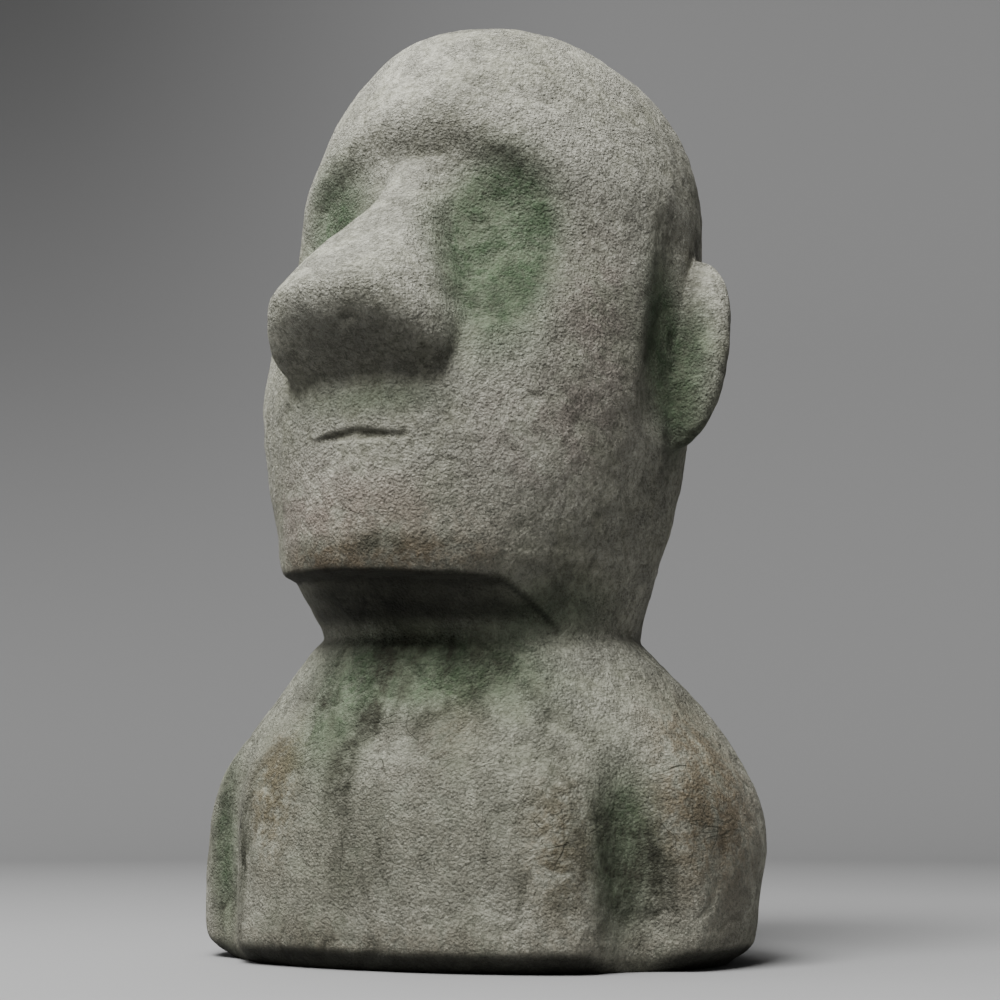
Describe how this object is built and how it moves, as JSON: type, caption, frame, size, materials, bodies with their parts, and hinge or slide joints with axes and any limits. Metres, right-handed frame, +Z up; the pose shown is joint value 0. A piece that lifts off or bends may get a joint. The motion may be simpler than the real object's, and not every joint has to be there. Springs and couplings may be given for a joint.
{
  "type": "garden statue",
  "caption": "Carved stone garden statue in the shape of a moai: a blunt eyeless head with a heavy wedge nose and flat ears, cut off at a bell-shaped bust that stands on its own flat underside.",
  "frame": {"origin": "on the ground under the middle of the statue's bounding box", "axes": "+Z up, the face looks along -Y, the statue's left side is at +X"},
  "size_m": [0.3066, 0.2999, 0.5],
  "materials": {
    "stone": "rough weathered cast stone, warm grey with green algae in the hollows and tan stains"
  },
  "bodies": {
    "root": {"statue": "stone"}
  },
  "joints": []
}
